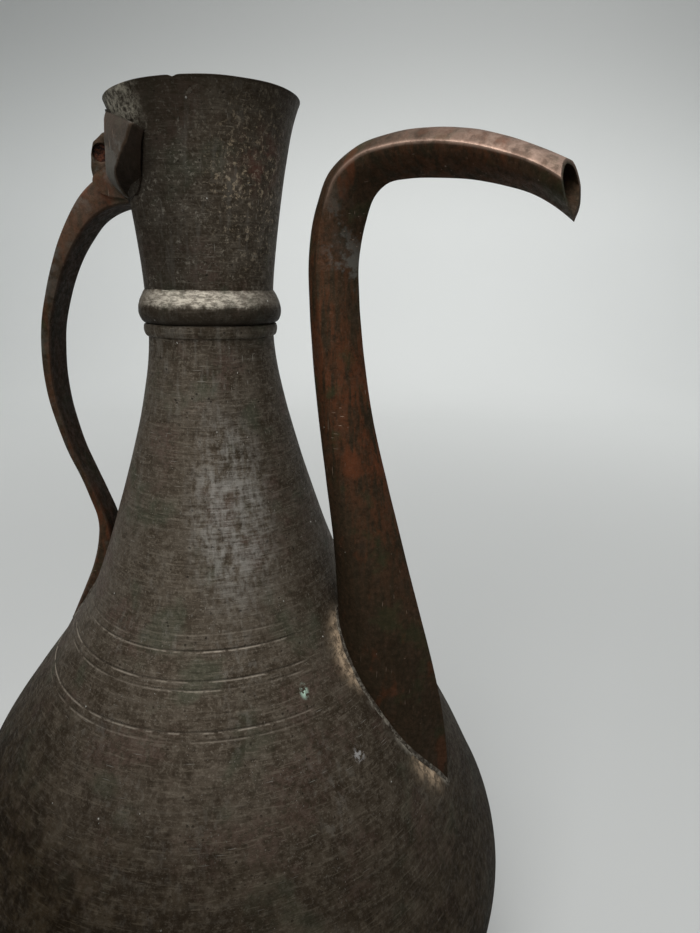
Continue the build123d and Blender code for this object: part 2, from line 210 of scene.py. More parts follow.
def hand_worked(points, depth=0.35, seed=1.0):
    """Vertices pressed in a little, as hammered sheet is. Only ever inwards, towards the axis."""
    out = points.copy()
    press_in(out, rumple(points, 26.0, depth, seed) + rumple(points, 8.0, depth * 0.35, seed + 3))
    return out


def wobble(points, axis, depth, size, seed):
    """Uneven surface: points moved both ways along an axis."""
    points[:, axis] += depth * (rumple(points, size, 1.0, seed) - 0.5)


def neck_lean(points):
    """The slight bend of the neck and tilt of the mouth."""
    out = points.copy()
    rise = np.clip((out[:, 2] - COLLAR_Z) / (HEIGHT - COLLAR_Z), 0, 1.1)
    along = out[:, 0] * math.cos(RIM_HIGH_AZ) + out[:, 1] * math.sin(RIM_HIGH_AZ)
    out[:, 2] += rise**2 * math.tan(RIM_TILT) * along
    shift = NECK_BEND * rise**1.5
    out[:, 0] += shift * math.cos(RIM_HIGH_AZ)
    out[:, 1] += shift * math.sin(RIM_HIGH_AZ)
    return out


def turn(points, azimuth):
    """Points (outwards, sideways, height) turned to an azimuth about the axis."""
    out = points.copy()
    c, s = math.cos(azimuth), math.sin(azimuth)
    out[:, 0] = points[:, 0] * c - points[:, 1] * s
    out[:, 1] = points[:, 0] * s + points[:, 1] * c
    return out


def stay_outside(points, sink=0.3):
    """Points inside the vessel are brought out to just under its surface."""
    out = points.copy()
    least = radius(out[:, 2]) - sink
    out[:, :2] *= np.maximum(least / from_axis(out), 1.0)[:, None]
    return out


def grid_faces(rows, columns, close_rows=False, close_columns=True):
    """Quads of a grid of vertices stored row by row."""
    r = np.arange(rows if close_rows else rows - 1)
    c = np.arange(columns if close_columns else columns - 1)
    r, c = np.meshgrid(r, c, indexing="ij")
    r2, c2 = (r + 1) % rows, (c + 1) % columns
    quads = np.stack([r * columns + c, r * columns + c2, r2 * columns + c2, r2 * columns + c], axis=-1)
    return quads.reshape(-1, 4).tolist()


def make_piece(name, points, faces, material, facts=None, sharp=40.0):
    """A mesh that stands for the CAD node of its name. facts are numbers per vertex for the material."""
    mesh = bpy.data.meshes.new(name)
    mesh.from_pydata((np.asarray(points) * MM).tolist(), [], faces)
    mesh.validate()
    for key, values in (facts or {}).items():
        layer = mesh.attributes.new(key, "FLOAT", "POINT")
        layer.data.foreach_set("value", np.asarray(values, np.float32))
    mesh.update()
    piece = bpy.data.objects.new(name, mesh)
    bpy.context.scene.collection.objects.link(piece)
    bpy.context.view_layer.objects.active = piece
    piece.select_set(True)
    fix_normals(mesh)
    mesh.set_sharp_from_angle(angle=math.radians(sharp))
    piece.select_set(False)
    mesh.materials.append(material)
    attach(piece, "root")
    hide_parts(name)


def spun_piece(name, section, points, material, facts=None):
    """A piece of tinned copper whose rings of points follow a closed section."""
    faces = grid_faces(len(section), SIDES, close_rows=True)
    make_piece(name, points, faces, material, facts)


def copper_piece(name, points, faces, material, sharp, **facts):
    """A piece of bare copper; each fact is one number or a number per vertex."""
    spread = {key: np.broadcast_to(value, len(points)) for key, value in facts.items()}
    make_piece(name, points, faces, material, spread, sharp)


def fix_normals(mesh):
    """Faces turned outwards and shaded smooth."""
    work = bmesh.new()
    work.from_mesh(mesh)
    bmesh.ops.recalc_face_normals(work, faces=work.faces)
    for face in work.faces:
        face.smooth = True
    work.to_mesh(mesh)
    work.free()


# ---------------------------------------------------------------- materials
# places of the single marks on the ewer, in metres
SCOURED_AND_HIGHLIT = (0.0205, -0.0245, 0.250)
VERDIGRIS = (0.0449, -0.0291, 0.1969)
SPLASH = (0.0617, -0.0271, 0.1783)
FOOT_LIME_HIGH, FOOT_LIME_LOW = (0.0505, -0.0085, 0.2000), (0.0774, -0.0090, 0.1600)
SOOT_AND_SHADE_LOW_LEFT = (-0.060, -0.070, 0.090)
COLLAR_CRUST = (0.0212, -0.0075, 0.338)
COLLAR_RUST = (0.0222, -0.0065, 0.3430)
COLLAR_LIME = (-0.0112, -0.0238, 0.3555)
SHADE_BESIDE_CHEEK = (-0.0060, -0.0230, 0.3430)
RING_HIGHLIGHT_FRONT = (0.0095, -0.0190, 0.3065)


class Nodes:
    """A short way to write a node tree."""

    def __init__(self, name):
        self.material = bpy.data.materials.new(name)
        self.material.use_nodes = True
        self.tree = self.material.node_tree
        self.shader = self.tree.nodes["Principled BSDF"]
        self.place = self.add("ShaderNodeTexCoord").outputs["Object"]
        self.colour = None

    def add(self, kind, inputs=None, **settings):
        node = self.tree.nodes.new(kind)
        for key, value in settings.items():
            setattr(node, key, value)
        for key, value in (inputs or {}).items():
            self.put(value, node.inputs[key])
        return node

    def put(self, value, socket):
        if isinstance(value, bpy.types.NodeSocket):
            self.tree.links.new(value, socket)
        elif socket.type == "RGBA":
            socket.default_value = (*value, 1.0)
        else:
            socket.default_value = value

    def math(self, operation, a, b, clamp):
        return self.add("ShaderNodeMath", {0: a, 1: b}, operation=operation, use_clamp=clamp).outputs[0]

    def times(self, a, b, clamp=False):
        return self.math("MULTIPLY", a, b, clamp)

    def plus(self, a, b, clamp=False):
        return self.math("ADD", a, b, clamp)

    def minus(self, a, b, clamp=False):
        return self.math("SUBTRACT", a, b, clamp)

    def larger(self, a, b):
        return self.math("MAXIMUM", a, b, False)

    def total(self, *parts):
        """Sum of (value, weight) pairs."""
        out = self.times(*parts[0])
        for value, weight in parts[1:]:
            out = self.plus(out, self.times(value, weight))
        return out

    def vector(self, operation, a, b=(0.0, 0.0, 0.0)):
        return self.add("ShaderNodeVectorMath", {0: a, 1: b}, operation=operation)

    def stretch(self, x, y, z, turn=(0.0, 0.0, 0.0)):
        """Object coordinates scaled per axis, so that a noise on them gets stretched."""
        inputs = {"Vector": self.place, "Rotation": turn, "Scale": (x, y, z)}
        return self.add("ShaderNodeMapping", inputs, vector_type="POINT").outputs[0]

    def noise(self, scale, detail=4.0, rough=0.55, warp=0.0, at=None):
        inputs = {"Vector": self.place if at is None else at, "Scale": scale, "Detail": detail,
                  "Roughness": rough, "Distortion": warp}
        return self.add("ShaderNodeTexNoise", inputs).outputs["Fac"]

    def cells(self, scale, at=None, feature="F1"):
        inputs = {"Vector": self.place if at is None else at, "Scale": scale}
        return self.add("ShaderNodeTexVoronoi", inputs, feature=feature).outputs["Distance"]

    def ramp(self, value, low, high, out_low=0.0, out_high=1.0):
        """Smooth step of a value between two levels."""
        inputs = {"Value": value, "From Min": low, "From Max": high, "To Min": out_low, "To Max": out_high}
        return self.add("ShaderNodeMapRange", inputs, interpolation_type="SMOOTHSTEP").outputs["Result"]

    def fall(self, value, low, high):
        """1 under the low level, 0 over the high one."""
        return self.ramp(value, low, high, 1.0, 0.0)

    def patches(self, scale, low, high, squash=(1, 1, 1), turned=(0, 0, 0), detail=5.0, rough=0.55):
        """Ragged patches, where a noise of its own is over the levels."""
        return self.ramp(self.noise(scale, detail, rough, at=self.stretch(*squash, turned)), low, high)

    def specks(self, scale, low, high, broad, some, most):
        """Small dots, kept only where a broad noise lets them be."""
        kept = self.patches(broad, some, most, turned=(0.3, 2.2, 0.4), detail=1.0)
        return self.times(self.fall(self.cells(scale), low, high), kept)

    def dashes(self, squash, turned, size, share, seed):
        """Short straight scratches: stretched dots, kept only where a broad noise lets them be."""
        dash = self.fall(self.cells(1.0, self.stretch(*squash, turned)), size * 0.35, size)
        kept = self.patches(70.0, share, share + 0.07, turned=(seed, 0.7 * seed, 1.3 * seed), detail=3.0)
        return self.times(dash, kept)

    def mark(self, point, reach, squash=(1.0, 1.0, 1.0)):
        """1 at a point (metres) falling to 0 at the reach; squash under 1 lengthens the mark that way."""
        away = self.vector("MULTIPLY", self.vector("SUBTRACT", self.place, point).outputs[0], squash)
        gap = self.vector("LENGTH", away.outputs[0])
        return self.fall(gap.outputs["Value"], reach * 0.25, reach)

    def mix(self, amount, a, b):
        return self.add("ShaderNodeMix", {0: amount, 6: a, 7: b}, data_type="RGBA").outputs[2]

    def coat(self, mask, colour, share=1.0):
        """Lay a colour over the colour so far, where the mask says and as thickly as the share."""
        amount = mask if share == 1.0 else self.times(mask, share)
        self.colour = self.mix(amount, self.colour, colour)

    def fact(self, name):
        """A number stored on the mesh, vertex by vertex."""
        return self.add("ShaderNodeAttribute", attribute_name=name).outputs["Fac"]

    def axes(self):
        """X, Y and Z of the place, in metres."""
        return self.add("ShaderNodeSeparateXYZ", {0: self.place}).outputs

    def bump(self, height, distance, strength=1.0, below=None):
        inputs = {"Height": height, "Distance": distance, "Strength": strength}
        if below is not None:
            inputs["Normal"] = below
        return self.add("ShaderNodeBump", inputs).outputs[0]

    def finish(self, rough, metal, normal, specular):
        values = {"Base Color": self.colour, "Roughness": rough, "Metallic": metal, "Normal": normal,
                  "Specular IOR Level": specular}
        for key, value in values.items():
            self.put(value, self.shader.inputs[key])
        return self.material


def dark_tin(name, lines=False, collar=False, ring=False):
    """Old tinned copper: dark brown patina, finely mottled, scratched, stained and rubbed."""
    n = Nodes(name)
    x, y, z = n.axes()
    stains = n.noise(24.0, detail=5.0, rough=0.6, warp=0.7)
    mottle = n.noise(170.0, detail=6.0, rough=0.66, warp=0.3)
    fine = n.noise(520.0, detail=5.0, rough=0.72)
    grain = n.noise(1300.0, detail=3.0, rough=0.7)
    n.colour = n.mix(n.ramp(stains, 0.38, 0.62), (0.040, 0.030, 0.020), (0.064, 0.050, 0.036))
    n.coat(n.ramp(mottle, 0.46, 0.64), (0.088, 0.073, 0.056), 0.45)
    n.coat(n.ramp(mottle, 0.50, 0.36), (0.024, 0.017, 0.010), 0.40)
    n.coat(n.ramp(fine, 0.50, 0.64), (0.122, 0.102, 0.078), 0.36)
    n.coat(n.ramp(fine, 0.48, 0.34), (0.017, 0.012, 0.007), 0.42)
    n.coat(n.ramp(grain, 0.54, 0.64), (0.165, 0.142, 0.110), 0.40)
    # casts of copper oxide and green
    purple = n.times(n.patches(48.0, 0.52, 0.64, (1, 1.3, 1.1), (0.4, 0.2, 0.9)), n.ramp(fine, 0.40, 0.55))
    n.coat(purple, (0.070, 0.040, 0.032), 0.42)
    n.coat(n.patches(56.0, 0.54, 0.68, (1.2, 1, 1), (1.4, 0.7, 0.1)), (0.046, 0.056, 0.036), 0.42)
    # streaks rubbed down the cone
    streak = n.noise(1.0, detail=5.0, rough=0.65, at=n.stretch(520, 520, 55))
    rubbed = n.times(n.ramp(streak, 0.50, 0.66), n.patches(34.0, 0.46, 0.60, (1, 1, 0.5), detail=3.0))
    n.coat(rubbed, (0.150, 0.138, 0.118), 0.35)
    # short marks and fine rings left by turning and scouring
    brush = n.noise(1.0, detail=4.0, rough=0.7, at=n.stretch(150, 150, 1500))
    brush_light = n.ramp(brush, 0.54, 0.66)
    n.coat(brush_light, (0.138, 0.117, 0.090), 0.44)
    n.coat(n.ramp(brush, 0.46, 0.34), (0.018, 0.013, 0.008), 0.40)
    rings = n.noise(1.0, detail=6.0, rough=0.65, at=n.stretch(18, 18, 620))
    n.coat(n.ramp(rings, 0.55, 0.70), (0.125, 0.110, 0.088), 0.22)
    # scratches, specks and pits
    line = n.larger(n.dashes((900, 900, 75), (0.35, 0.2, 0.1), 0.16, 0.54, 1.0),
                    n.dashes((850, 850, 60), (-0.5, 0.35, 0.4), 0.15, 0.55, 2.0))
    line = n.larger(line, n.dashes((90, 90, 1300), (0.10, -0.06, 0.0), 0.17, 0.53, 3.0))
    line = n.larger(line, n.dashes((800, 110, 800), (0.7, 0.2, 0.9), 0.14, 0.56, 4.0))
    n.coat(line, (0.250, 0.230, 0.195), 0.60)
    speck = n.specks(330.0, 0.07, 0.12, 240.0, 0.66, 0.70)
    n.coat(speck, (0.60, 0.58, 0.52), 0.9)
    pit = n.fall(n.cells(480.0, at=n.stretch(1, 1, 1, (0.9, 0.1, 0.5))), 0.08, 0.22)
    pit = n.times(pit, n.ramp(mottle, 0.50, 0.60))
    n.coat(pit, (0.010, 0.008, 0.006), 0.60)
    height = n.total((mottle, 0.30), (fine, 0.35), (brush, 0.35), (grain, 0.12), (line, -0.25),
                     (pit, -0.45), (speck, 0.4))
    # soot and handling dirt, with painted shade, thicken towards the bowl
    soot_and_shade = n.plus(z, n.times(n.minus(stains, 0.5), 0.05))
    soot_and_shade = n.times(n.fall(soot_and_shade, 0.092, 0.236), 0.93)
    # painted shade, with soot, heaviest at the lower left of the bowl
    thick = n.mark(SOOT_AND_SHADE_LOW_LEFT, 0.150)
    soot_and_shade = n.plus(soot_and_shade, n.times(thick, 0.70), clamp=True)
    soot_and_shade = n.times(soot_and_shade, n.ramp(fine, 0.42, 0.68, 1.0, 0.84))
    soot_shade_colour = n.mix(n.ramp(mottle, 0.42, 0.62), (0.0058, 0.0034, 0.0011), (0.0165, 0.0112, 0.0056))
    soot_shade_colour = n.mix(n.times(brush_light, 0.40), soot_shade_colour, (0.038, 0.029, 0.018))
    n.coat(soot_and_shade, soot_shade_colour)
    if lines:
        # the patch scoured bright on the front of the cone, with a painted highlight on it
        scour_and_highlight = n.mark(SCOURED_AND_HIGHLIT, 0.0175, (1.0, 1.0, 0.33))
        rub = n.plus(n.plus(streak, n.times(fine, 0.5)), n.times(brush, 0.6))
        scour_and_highlight = n.times(scour_and_highlight, n.ramp(rub, 0.86, 1.30))
        n.coat(scour_and_highlight, (0.225, 0.212, 0.190), 0.80)
        broken = n.patches(420.0, 0.40, 0.58, (0.4, 0.4, 1), detail=4.0, rough=0.7)
        n.coat(n.fact("groove"), (0.013, 0.010, 0.007), 0.80)
        n.coat(n.times(n.fact("groove_lip"), broken), (0.29, 0.25, 0.20), 0.85)
        # lime round the spout's foot, and painted shade in a band close round it
        crusty = n.ramp(n.noise(400.0, detail=6.0, rough=0.72), 0.40, 0.58)
        upper = n.mark(FOOT_LIME_HIGH, 0.0140, (1.0, 1.0, 0.75))
        lower = n.mark(FOOT_LIME_LOW, 0.0120)
        near = n.larger(upper, n.times(lower, 0.7))
        near = n.times(n.times(n.fact("foot_near"), 1.9), near, clamp=True)
        near = n.times(near, n.plus(n.times(crusty, 0.75), 0.25))
        # painted shade close round the spout's foot
        n.coat(n.fact("foot_near"), (0.020, 0.015, 0.010), 0.30)
        n.coat(near, (0.41, 0.305, 0.205), 0.95)
        seam = n.times(n.fact("foot_close"), n.ramp(n.noise(140.0, detail=4.0), 0.42, 0.58))
        n.coat(seam, (0.36, 0.33, 0.27), 0.75)
        height = n.plus(height, n.times(near, 0.6))
        # a run of verdigris on the shoulder, and a pale splash
        verdigris = n.mark(VERDIGRIS, 0.0044, (2.5, 2.5, 0.50))
        verdigris = n.times(verdigris, n.ramp(fine, 0.45, 0.53))
        n.coat(verdigris, (0.34, 0.46, 0.37))
        n.coat(n.times(n.mark(SPLASH, 0.0030), n.ramp(fine, 0.48, 0.56)), (0.30, 0.29, 0.28), 0.7)
    if collar:
        crust = n.noise(760.0, detail=6.0, rough=0.74, warp=0.3)
        right = n.mark(COLLAR_CRUST, 0.0190, (1.0, 1.0, 0.55))
        amount = n.times(right, n.ramp(crust, 0.54, 0.61))
        n.coat(amount, (0.330, 0.262, 0.180), 0.85)
        rust = n.mark(COLLAR_RUST, 0.0120)
        rust = n.times(rust, n.ramp(mottle, 0.42, 0.60))
        n.coat(rust, (0.105, 0.040, 0.028), 0.60)
        shade = n.fall(n.plus(x, n.times(n.minus(stains, 0.5), 0.016)), 0.000, 0.019)
        n.coat(shade, (0.013, 0.010, 0.007), 0.58)
        n.coat(n.times(n.ramp(crust, 0.55, 0.61), n.ramp(mottle, 0.44, 0.54)), (0.190, 0.172, 0.140), 0.42)
        # painted shade on the collar beside the hinge's near cheek
        n.coat(n.mark(SHADE_BESIDE_CHEEK, 0.0080, (1.0, 1.0, 0.6)), (0.014, 0.011, 0.008), 0.65)
        n.coat(n.fact("edge"), (0.016, 0.013, 0.010), 0.8)
        n.coat(n.ramp(z, 0.338, 0.362), (0.016, 0.011, 0.006), 0.62)
        lime = n.mark(COLLAR_LIME, 0.0125, (1.0, 1.0, 0.85))
        amount = n.times(lime, n.ramp(n.plus(fine, crust), 0.80, 1.22))
        n.coat(amount, (0.33, 0.30, 0.235), 0.90)
        height = n.plus(height, n.times(amount, 0.7))
    if ring:
        ragged = n.noise(330.0, detail=6.0, rough=0.72)
        level = n.plus(z, n.times(n.minus(ragged, 0.5), 0.0042))
        upper = n.times(n.ramp(level, 0.3036, 0.3054), n.ramp(level, 0.3094, 0.3078))
        broken = n.noise(1.0, detail=6.0, rough=0.75, at=n.stretch(420, 420, 1300))
        broken = n.ramp(broken, 0.40, 0.60, 0.25, 1.0)
        # painted highlight, with wear, on the top of the ring, strongest at the front
        front = n.mark(RING_HIGHLIGHT_FRONT, 0.0260)
        worn_and_highlit_top = n.times(n.times(upper, broken), n.plus(n.times(front, 0.85), 0.15))
        n.coat(worn_and_highlit_top, (0.50, 0.45, 0.37), 0.90)
        # painted shade on the lower half of the ring
        n.coat(n.ramp(level, 0.3050, 0.3030), (0.016, 0.012, 0.008), 0.62)
        # painted shade under the ring
        n.coat(n.fall(z, 0.2992, 0.3014), (0.014, 0.010, 0.007), 0.7)
    rough = n.ramp(fine, 0.35, 0.65, 0.66, 0.50)
    rough = n.plus(rough, n.times(soot_and_shade, 0.18))
    metal = n.times(n.ramp(stains, 0.3, 0.7, 0.24, 0.40), n.minus(1.0, soot_and_shade))
    normal = n.bump(height, 0.00055, 1.0)
    hammer = n.cells(95.0, feature="SMOOTH_F1", at=n.stretch(1, 1, 0.8))
    normal = n.bump(hammer, 0.0011, 0.30, normal)
    return n.finish(rough, metal, normal, 0.05)


def worn_copper(name):
    """Bare copper gone dark brown, with grey remains of tin, rubbed bright ridges under a painted highlight,
    painted light on faces turned to the lamp, and painted shade on faces turned away and inside the spout.
    """
    n = Nodes(name)
    stains = n.noise(42.0, detail=5.0, rough=0.62, warp=0.6)
    mottle = n.noise(230.0, detail=6.0, rough=0.68)
    fine = n.noise(620.0, detail=5.0, rough=0.72)
    along = n.noise(1.0, detail=5.0, rough=0.66, at=n.stretch(420, 420, 50))
    grain = n.noise(1700.0, detail=3.0, rough=0.7)
    red = n.plus(n.times(n.fact("red"), 0.75), 0.12)
    brown = n.mix(n.ramp(stains, 0.36, 0.64), (0.024, 0.018, 0.010), (0.046, 0.031, 0.018))
    ruddy = n.mix(n.ramp(along, 0.40, 0.58), (0.026, 0.017, 0.009), (0.098, 0.031, 0.012))
    n.colour = n.mix(n.times(red, n.ramp(mottle, 0.34, 0.56, 0.45, 1.0)), brown, ruddy)
    n.coat(n.ramp(fine, 0.50, 0.64), (0.095, 0.050, 0.030), 0.26)
    n.coat(n.ramp(fine, 0.48, 0.36), (0.014, 0.010, 0.006), 0.55)
    n.coat(n.ramp(along, 0.52, 0.68), (0.036, 0.032, 0.024), 0.30)
    n.coat(n.patches(95.0, 0.54, 0.66, turned=(0.5, 1.6, 0.2)), (0.032, 0.042, 0.018), 0.50)
    n.coat(n.patches(120.0, 0.57, 0.66, (1, 1, 0.5), (2.5, 0.6, 1.2)), (0.135, 0.040, 0.016), 0.50)
    grey = n.patches(110.0, 0.50, 0.60, turned=(2.1, 0.3, 0.9), detail=6.0, rough=0.74)
    full = n.times(n.minus(n.fact("tin"), 0.8, clamp=True), 0.8)
    grey = n.plus(n.times(grey, n.fact("tin")), full, clamp=True)
    n.coat(grey, (0.100, 0.095, 0.083), 0.85)
    n.coat(n.ramp(grain, 0.54, 0.66), (0.170, 0.110, 0.075), 0.15)
    line = n.larger(n.dashes((900, 900, 70), (0.12, 0.1, 0.1), 0.16, 0.53, 1.5),
                    n.dashes((120, 700, 800), (0.3, 0.5, -0.4), 0.15, 0.54, 2.5))
    n.coat(line, (0.32, 0.235, 0.175), 0.60)
    speck = n.specks(360.0, 0.06, 0.11, 200.0, 0.64, 0.69)
    n.coat(speck, (0.50, 0.44, 0.36), 0.85)
    uneven = n.noise(240.0, detail=6.0, rough=0.66)
    # paler dull copper, and painted light on faces turned to the lamp
    dull = n.times(n.fact("dull"), n.ramp(uneven, 0.38, 0.60, 0.35, 1.0))
    n.coat(dull, (0.230, 0.158, 0.122))
    n.coat(n.times(n.fact("dull"), n.ramp(mottle, 0.50, 0.62)), (0.075, 0.050, 0.038), 0.50)
    # dirt, and painted shade where the mesh marks it
    dirt_and_shade_amount = n.times(n.fact("grime"), n.ramp(fine, 0.38, 0.66, 1.0, 0.78))
    n.coat(dirt_and_shade_amount, (0.010, 0.0065, 0.003), 0.88)
    # a painted highlight, with rubbed bright copper, along worn ridges
    bright = n.times(n.fact("wear"), n.ramp(uneven, 0.34, 0.56, 0.40, 1.0))
    n.coat(bright, (0.62, 0.42, 0.325), 0.95)
    # near-black painted shade inside the spout and on the hinge cheek's shaded facet
    n.coat(n.ramp(n.fact("grime"), 0.88, 1.0), (0.0040, 0.0024, 0.0012), 0.72)
    rough = n.ramp(fine, 0.35, 0.65, 0.60, 0.42)
    rough = n.minus(rough, n.times(bright, 0.10))
    rough = n.plus(rough, n.times(dirt_and_shade_amount, 0.30), clamp=True)
    metal = n.times(n.ramp(stains, 0.3, 0.7, 0.34, 0.52), n.minus(1.0, n.times(dirt_and_shade_amount, 0.9)))
    height = n.total((mottle, 0.35), (fine, 0.30), (grain, 0.10), (line, -0.25))
    normal = n.bump(height, 0.0005, 1.0)
    hammer = n.cells(150.0, feature="SMOOTH_F1")
    normal = n.bump(hammer, 0.0010, 0.40, normal)
    return n.finish(rough, metal, normal, 0.06)


def soft_solder(name, pale=0.5, dirt_and_shade_amount=0.0):
    """Dull tin-lead solder under a chalky crust, darkened all over as its last number says: a dirty film, and
    on the hinge pad painted shade.
    """
    n = Nodes(name)
    lumps = n.noise(240.0, detail=6.0, rough=0.7, warp=0.5)
    crust = n.noise(700.0, detail=5.0, rough=0.75)
    n.colour = n.mix(n.ramp(lumps, 0.38, 0.62), (0.020, 0.015, 0.010), (0.060, 0.050, 0.038))
    n.coat(n.ramp(crust, 0.46, 0.60), (0.36, 0.33, 0.27), pale)
    pit = n.fall(n.cells(900.0), 0.08, 0.22)
    n.coat(pit, (0.012, 0.009, 0.007), 0.5)
    # dirty film, and on the hinge pad painted shade of the recess beside the near cheek
    n.coat(dirt_and_shade_amount, (0.009, 0.006, 0.003))
    height = n.total((lumps, 0.7), (crust, 0.35), (pit, -0.3))
    rough = n.ramp(crust, 0.3, 0.7, 0.85, 0.60)
    metal = n.ramp(lumps, 0.3, 0.7, 0.35, 0.15)
    return n.finish(rough, metal, n.bump(height, 0.0007, 1.0), 0.12)


def rusted_iron(name):
    """Iron eaten by rust, red-brown and nearly black."""
    n = Nodes(name)
    scale = n.noise(520.0, detail=6.0, rough=0.75, warp=0.8)
    n.colour = n.mix(n.ramp(scale, 0.42, 0.60), (0.006, 0.004, 0.003), (0.085, 0.026, 0.012))
    n.coat(n.fall(n.cells(1400.0), 0.1, 0.3), (0.004, 0.003, 0.002), 0.5)
    rough = n.ramp(scale, 0.3, 0.7, 0.95, 0.75)
    return n.finish(rough, 0.0, n.bump(scale, 0.0008, 1.0), 0.2)


# ---------------------------------------------------------------- vessel
SIDES = 360
AROUND = circle(SIDES)


def spin(curve):
    """Rings of points, one for each (radius, height) of the curve."""
    r, z = curve[:, 0][:, None], curve[:, 1][:, None]
    x, y = r * np.cos(AROUND), r * np.sin(AROUND)
    return np.stack([x, y, np.broadcast_to(z, x.shape)], axis=-1).reshape(-1, 3)


def closed_section(outside, inside):
    """One loop: up the outside and down the inside."""
    return np.vstack([outside, inside[::-1]])


def loop_rows(curve, between):
    """Rows of the curve whose height lies between two levels, with the exact ends added."""
    low, high = between
    keep = (curve[:, 1] > low + 0.05) & (curve[:, 1] < high - 0.05)
    ends = [(np.interp(v, curve[:, 1], curve[:, 0]), v) for v in (low, high)]
    return np.vstack([[ends[0]], curve[keep], [ends[1]]])


def scribe_depth(points):
    """Depth of the scribed lines at each point, and how much their lower lips are lightened."""
    azimuth = np.arctan2(points[:, 1], points[:, 0])
    wander = np.array([noise.noise(Vector((math.cos(a) * 1.7, math.sin(a) * 1.7, 4.0))) for a in azimuth])
    stop = np.clip((np.abs(azimuth) - math.radians(27.0)) / math.radians(7.0), 0, 1)
    depth, lip = np.zeros(len(points)), np.zeros(len(points))
    weights = [0.40, 0.90, 0.60, 0.75, 1.0, 0.30, 0.25]
    for i, (line, weight) in enumerate(zip(SCRIBED, weights)):
        level = line + 0.22 * wander * (0.6 + 0.15 * i)
        fade = np.array([
            0.75 + 0.8 * noise.noise(Vector((math.cos(a) * 2.3, math.sin(a) * 2.3, i * 3.1))) for a in azimuth
        ])
        fade = np.clip(fade, 0.12, 1.0) * weight * stop
        away = points[:, 2] - level
        depth = np.maximum(depth, fade * np.exp(-(away / 0.24) ** 2))
        lip = np.maximum(lip, fade * np.exp(-((away + 0.32) / 0.14) ** 2))
    return depth, lip


def spread_from(points, loop, reach):
    """1 on a loop of points, falling smoothly to 0 further away than about twice the reach."""
    out = np.zeros(len(points))
    low, high = loop.min(axis=0) - 3 * reach, loop.max(axis=0) + 3 * reach
    close = np.where(((points > low) & (points < high)).all(axis=1))[0]
    for chunk in np.array_split(close, max(1, len(close) // 4000)):
        gap = np.linalg.norm(points[chunk][:, None] - loop[None], axis=2).min(axis=1)
        out[chunk] = np.exp(-(gap / reach) ** 2)
    return out


def fine_curve():
    """The body's outline with closely spaced points where the lines are scribed."""
    z = np.concatenate([
        np.arange(FOOT_TOP_Z, 188.0, 1.5), np.arange(188.0, 217.0, 0.13),
        np.arange(217.0, COLLAR_Z, 1.2), [COLLAR_Z],
    ])
    return np.stack([radius(z), z], axis=1)


def make_vessel(tin_scribed, tin_plain, spout_foot):
    curve = fine_curve()
    inner = inward(smooth(BODY_OUTLINE, 2.0), BODY_WALL)
    for name, low, high, material in (("body_upper", SEAM_Z, COLLAR_Z, tin_scribed),
                                      ("body_lower", FOOT_TOP_Z, SEAM_Z, tin_plain)):
        outside, inside = loop_rows(curve, (low, high)), loop_rows(inner, (low, high))
        section = closed_section(outside, inside)
        points = spin(section)
        groove, lip = scribe_depth(points)
        outer_count = len(outside) * SIDES
        groove[outer_count:], lip[outer_count:] = 0, 0
        press_in(points, SCRIBE_DEPTH * groove)
        points = hand_worked(points, 0.35)
        spun_piece(name, section, points, material, {
            "groove": groove, "groove_lip": lip,
            "foot_close": spread_from(points, spout_foot, 1.1),
            "foot_near": spread_from(points, spout_foot, 4.2),
        })


def make_collar(material):
    outside = smooth(COLLAR_OUTLINE, 0.9)
    inside = inward(outside, BODY_WALL)
    lip = np.array([[27.45, HEIGHT - 0.12], [27.1, HEIGHT - 0.02], [26.6, HEIGHT - 0.1]])
    section = np.vstack([outside, lip, inside[::-1]])
    points = spin(section)
    points = hand_worked(points, 0.22, seed=4.0)
    azimuth = np.arctan2(points[:, 1], points[:, 0])
    nick_at = math.radians(-72.0)
    off = np.abs((azimuth - nick_at + math.pi) % (2 * math.pi) - math.pi) * 26.0
    top = np.clip((points[:, 2] - (HEIGHT - 2.5)) / 2.5, 0, 1)
    points[:, 2] -= 0.45 * np.exp(-(off / 0.8) ** 2) * top
    points[:, 2] -= top * rumple(points, 14.0, 0.35, 7.0)
    edge = np.clip((points[:, 2] - (HEIGHT - 1.1)) / 0.8, 0, 1)
    spun_piece("mouth_collar", section, neck_lean(points), material, {"edge": edge})


def dent_outside(points, dent):
    """Press in the part of a neck ring that stands proud of the neck."""
    press_in(points, np.where(from_axis(points) > COLLAR_OUTLINE[0][0], dent, 0))


def make_rings(material, highlit_ring_tin):
    bulge = smooth([
        (18.6, 299.0), (20.7, 299.6), (21.7, 301.3), (21.95, 303.5), (21.55, 305.6), (20.6, 307.6),
        (19.2, 309.5),
    ], 0.4)
    back = np.array([[18.6, 309.2], [18.4, 304.0]])
    section = np.vstack([bulge, back])
    points = spin(section)
    dent_outside(points, rumple(points, 5.0, 0.5, 2.0) + rumple(points, 1.8, 0.22, 5.0))
    spun_piece("neck_ring", section, neck_lean(points), highlit_ring_tin)
    band = smooth([(18.6, 295.5), (19.8, 295.4), (20.5, 297.1), (20.2, 298.9), (18.6, 299.0)], 0.3)
    points = spin(band)
    dent_outside(points, rumple(points, 4.0, 0.4, 8.0))
    spun_piece("neck_band", band, points, material)


